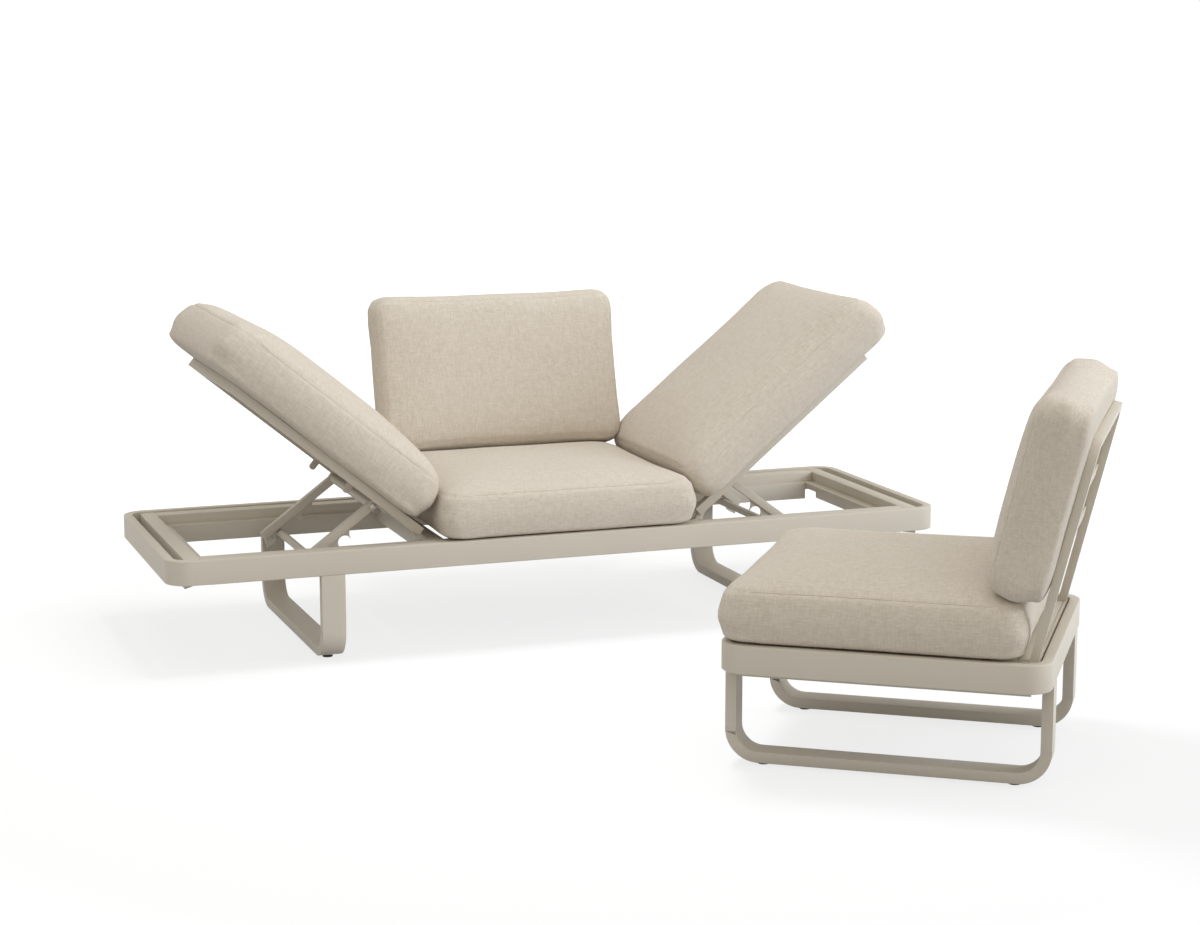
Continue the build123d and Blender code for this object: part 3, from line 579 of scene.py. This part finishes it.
seamCord = {"cordRadius": 0.001, "cordSides": 6}
seamSteps, seamEvenings = 240, 3


# A round cord along a path of edges
def seamCordTree():
    tree, start, end, sockets = newShapeTree("seamCord", cordRadius="NodeSocketFloat",
                                             cordSides="NodeSocketInt")
    path = addNode(tree, "GeometryNodeMeshToCurve", {"Mesh": start})
    ring = addNode(tree, "GeometryNodeCurvePrimitiveCircle",
                   {"Radius": start.outputs["cordRadius"], "Resolution": start.outputs["cordSides"]})
    cord = addNode(tree, "GeometryNodeCurveToMesh", {"Curve": path, "Profile Curve": ring})
    real = addNode(tree, "GeometryNodeRealizeInstances", {"Geometry": cord})
    dyed = addNode(tree, "GeometryNodeSetMaterial", {"Geometry": real, "Material": weave})
    tree.links.new(dyed.outputs[0], end.inputs[0])
    return tree, sockets


cordTree, cordSockets = seamCordTree()


# Even closed path round a pad at the seam's height, on its surface
def seamPath(mesh, height):
    cut = bmesh.new()
    cut.from_mesh(mesh)
    bmesh.ops.bisect_plane(cut, geom=cut.verts[:] + cut.edges[:] + cut.faces[:], plane_co=(0, 0, height),
                           plane_no=(0, 0, 1), clear_inner=True, clear_outer=True)
    ring = np.array([v.co[:] for v in cut.verts])
    cut.free()
    ring = ring[np.argsort(np.arctan2(ring[:, 1], ring[:, 0]))]
    closed = np.vstack([ring, ring[:1]])
    run = np.concatenate([[0], np.cumsum(np.linalg.norm(np.diff(closed, axis=0), axis=1))])
    wanted = np.linspace(0, run[-1], seamSteps, endpoint=False)
    path = np.stack([np.interp(wanted, run, closed[:, axis]) for axis in range(3)], axis=1)
    for _ in range(seamEvenings):
        path = (path + np.roll(path, 1, 0) + np.roll(path, -1, 0)) / 3
    return path


def seamOf(name, mesh, height):
    path = seamPath(mesh, height)
    line = bpy.data.meshes.new(name + "Seam")
    line.from_pydata([tuple(p) for p in path], [(i, (i + 1) % seamSteps) for i in range(seamSteps)], [])
    piece = bpy.data.objects.new(name + "Seam", line)
    scene.collection.objects.link(piece)
    cord = piece.modifiers.new("cord", "NODES")
    cord.node_group = cordTree
    for size, value in seamCord.items():
        cord[cordSockets[size]] = value
    applyModifiers(piece)
    return piece


def finishCushion(name, cushion):
    facts, seed = forms[cushion["form"]], cushion["seed"]
    piece = bpy.data.objects.new(name, pads[cushion["form"]].data.copy())
    scene.collection.objects.link(piece)
    finer = piece.modifiers.new("finer", "SUBSURF")
    finer.levels = 1
    finer.render_levels = 1
    applyModifiers(piece)
    mesh = piece.data
    mesh.name = name
    places, normals = pointsOf(mesh), normalsOf(mesh)
    nearSeam = np.exp(-((places[:, 2] - facts["seam"]) / cover["creaseReach"]) ** 2)
    swell = smoothNoise(places, cover["swellSize"], seed) * cover["swellDepth"]
    crease = smoothNoise(places, cover["creaseSize"], seed + 1) * cover["creaseDepth"] * nearSeam
    places = places + normals * (swell + crease)[:, None]
    onSide = np.abs(normals[:, 2]) < cover["steep"]
    inGroove = np.exp(-((places[:, 2] - facts["seam"]) / cover["grooveReach"]) ** 2) * onSide
    places = places - normals * (inGroove * cover["grooveDepth"])[:, None]
    places[:, 2] = np.maximum(places[:, 2], 0.0)
    setPoints(mesh, places)
    seamPiece = seamOf(name, mesh, facts["seam"])
    turn, origin, _ = cushionFrame(cushion)
    place = Matrix(turn.T.tolist()).to_4x4()
    place.translation = Vector((turn.T @ origin).tolist())
    for part in (mesh, seamPiece.data):
        weaveAttribute(part, seed)
        part.transform(place)
        part.materials.clear()
        part.materials.append(weave)
        part.polygons.foreach_set("use_smooth", [True] * len(part.polygons))
        part.update()
    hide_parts(cushion["node"])
    for part in (piece, seamPiece):
        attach(part, cushion["body"])


for name, cushion in cushions.items():
    finishCushion(name, cushion)
for pad in pads.values():
    bpy.data.objects.remove(pad)
print("stage: cushions")


# Floor

floorLook = {"reach": 40.0, "liftFrom": 1.9, "liftTo": 3.6, "lift": (0.785, 1.1), "matt": (0.35, 0.15)}


# Pale studio floor. What the camera or a glossy surface sees of it is lifted to white away from the
# object, so only the soft shadow stays, and the light that the floor gives back stays plain.
def studioFloor(look):
    material, tree = newMaterial("studio_floor")
    rays = addNode(tree, "ShaderNodeLightPath")
    direct = addNode(tree, "ShaderNodeMath", (rays.outputs["Is Camera Ray"], rays.outputs["Is Glossy Ray"]),
                     operation="MAXIMUM")
    seen = addNode(tree, "ShaderNodeMath", (direct, rays.outputs["Is Transmission Ray"]),
                   operation="MAXIMUM")
    at = addNode(tree, "ShaderNodeTexCoord").outputs["Object"]
    away = addNode(tree, "ShaderNodeVectorMath", (at,), operation="LENGTH").outputs["Value"]
    lift = addNode(tree, "ShaderNodeMapRange", (away, look["liftFrom"], look["liftTo"], *look["lift"]))
    strength = addNode(tree, "ShaderNodeMath", (seen, lift), operation="MULTIPLY")
    glow = addNode(tree, "ShaderNodeEmission", {"Strength": strength})
    grey = addNode(tree, "ShaderNodeMapRange", (seen, 0.0, 1.0, *look["matt"]))
    matt = addNode(tree, "ShaderNodeBsdfDiffuse", {"Color": grey})
    both = addNode(tree, "ShaderNodeAddShader", (glow, matt))
    addNode(tree, "ShaderNodeOutputMaterial", {"Surface": both})
    return material


floorMesh = bpy.data.meshes.new("floor")
reach = floorLook["reach"]
floorMesh.from_pydata([(-reach, -reach, 0), (reach, -reach, 0), (reach, reach, 0), (-reach, reach, 0)],
                      [], [(0, 1, 2, 3)])
floorMesh.materials.append(studioFloor(floorLook))
floor = bpy.data.objects.new("floor", floorMesh)
scene.collection.objects.link(floor)

# Light: a warm surround that is brighter from the front right, a soft box above, a stronger one on the
# right, and a lamp for the floor alone, which thins the middle of its shadow.

surround = {"ambient": 0.70, "dome": 0.33, "domeSide": (0.60, -0.50, 0.62), "tint": (1.0, 0.975, 0.92, 1.0),
            "seenTint": (1.0, 1.0, 1.0, 1.0)}
coolTint, plainTint = (0.9, 1.0, 1.14), (1.0, 1.0, 1.0)
lights = {
    "topLight": {"place": (1.0, 0.0, 3.4), "size": (1.5, 1.5), "power": 15, "tint": coolTint},
    "rightLight": {"place": (5.6, -2.9, 2.0), "size": (2.2, 2.0), "power": 89, "tint": coolTint},
    "floorLight": {"place": (1.0, 0.15, 3.3), "size": (1.0, 1.0), "power": 90, "tint": plainTint},
}
lightTarget = benchPoint(1.1, -0.2, 0.3)


def studioWorld(look):
    world = bpy.data.worlds.new("studio")
    world.use_nodes = True
    tree = world.node_tree
    tree.nodes.clear()
    rays = addNode(tree, "ShaderNodeLightPath")
    seen = addNode(tree, "ShaderNodeMath",
                   (rays.outputs["Is Camera Ray"], rays.outputs["Is Transmission Ray"]), operation="MAXIMUM")
    looking = addNode(tree, "ShaderNodeTexCoord").outputs["Generated"]
    side = tuple(Vector(look["domeSide"]).normalized())
    facing = addNode(tree, "ShaderNodeVectorMath", (looking, side), operation="DOT_PRODUCT").outputs["Value"]
    half = addNode(tree, "ShaderNodeMath", (facing, 0.0), operation="MAXIMUM")
    dome = addNode(tree, "ShaderNodeMath", (half, look["dome"]), operation="MULTIPLY")
    lit = addNode(tree, "ShaderNodeMath", (dome, look["ambient"]), operation="ADD")
    strength = addNode(tree, "ShaderNodeMapRange", (seen, 0.0, 1.0, lit, 1.0))
    tint = addNode(tree, "ShaderNodeMix", {0: seen, colourA: look["tint"], colourB: look["seenTint"]},
                   data_type="RGBA")
    sky = addNode(tree, "ShaderNodeBackground", {"Color": tint.outputs[colourOut], "Strength": strength})
    addNode(tree, "ShaderNodeOutputWorld", {"Surface": sky})
    return world


def softbox(name, look):
    light = bpy.data.lights.new(name, "AREA")
    light.shape = "RECTANGLE"
    light.size, light.size_y = look["size"]
    light.energy = look["power"]
    light.color = look["tint"]
    box = bpy.data.objects.new(name, light)
    box.location = benchPoint(*look["place"])
    box.rotation_euler = (lightTarget - box.location).to_track_quat("-Z", "Y").to_euler()
    scene.collection.objects.link(box)
    return box


scene.world = studioWorld(surround)
softboxes = {name: softbox(name, look) for name, look in lights.items()}
floorOnly = bpy.data.collections.new("floorOnly")
floorOnly.objects.link(floor)
softboxes["floorLight"].light_linking.receiver_collection = floorOnly

# Camera, fitted to the straight edges of both frames in the photograph

view = {"place": (-1.12153, -6.33859, 1.68803), "lookDown": 9.96, "lookRight": 20.11,
        "lens": 74.6, "sensor": 36.0, "clipEnd": 200.0}

camera = bpy.data.cameras.new("camera")
camera.lens = view["lens"]
camera.sensor_width = view["sensor"]
camera.sensor_fit = "HORIZONTAL"
camera.clip_end = view["clipEnd"]
eye = bpy.data.objects.new("camera", camera)
eye.location = benchPoint(*view["place"])
eye.rotation_euler = (math.radians(90 - view["lookDown"]), 0, math.radians(-view["lookRight"]))
scene.collection.objects.link(eye)
scene.camera = eye
scene.view_settings.view_transform = "Standard"
print("stage: camera and light")
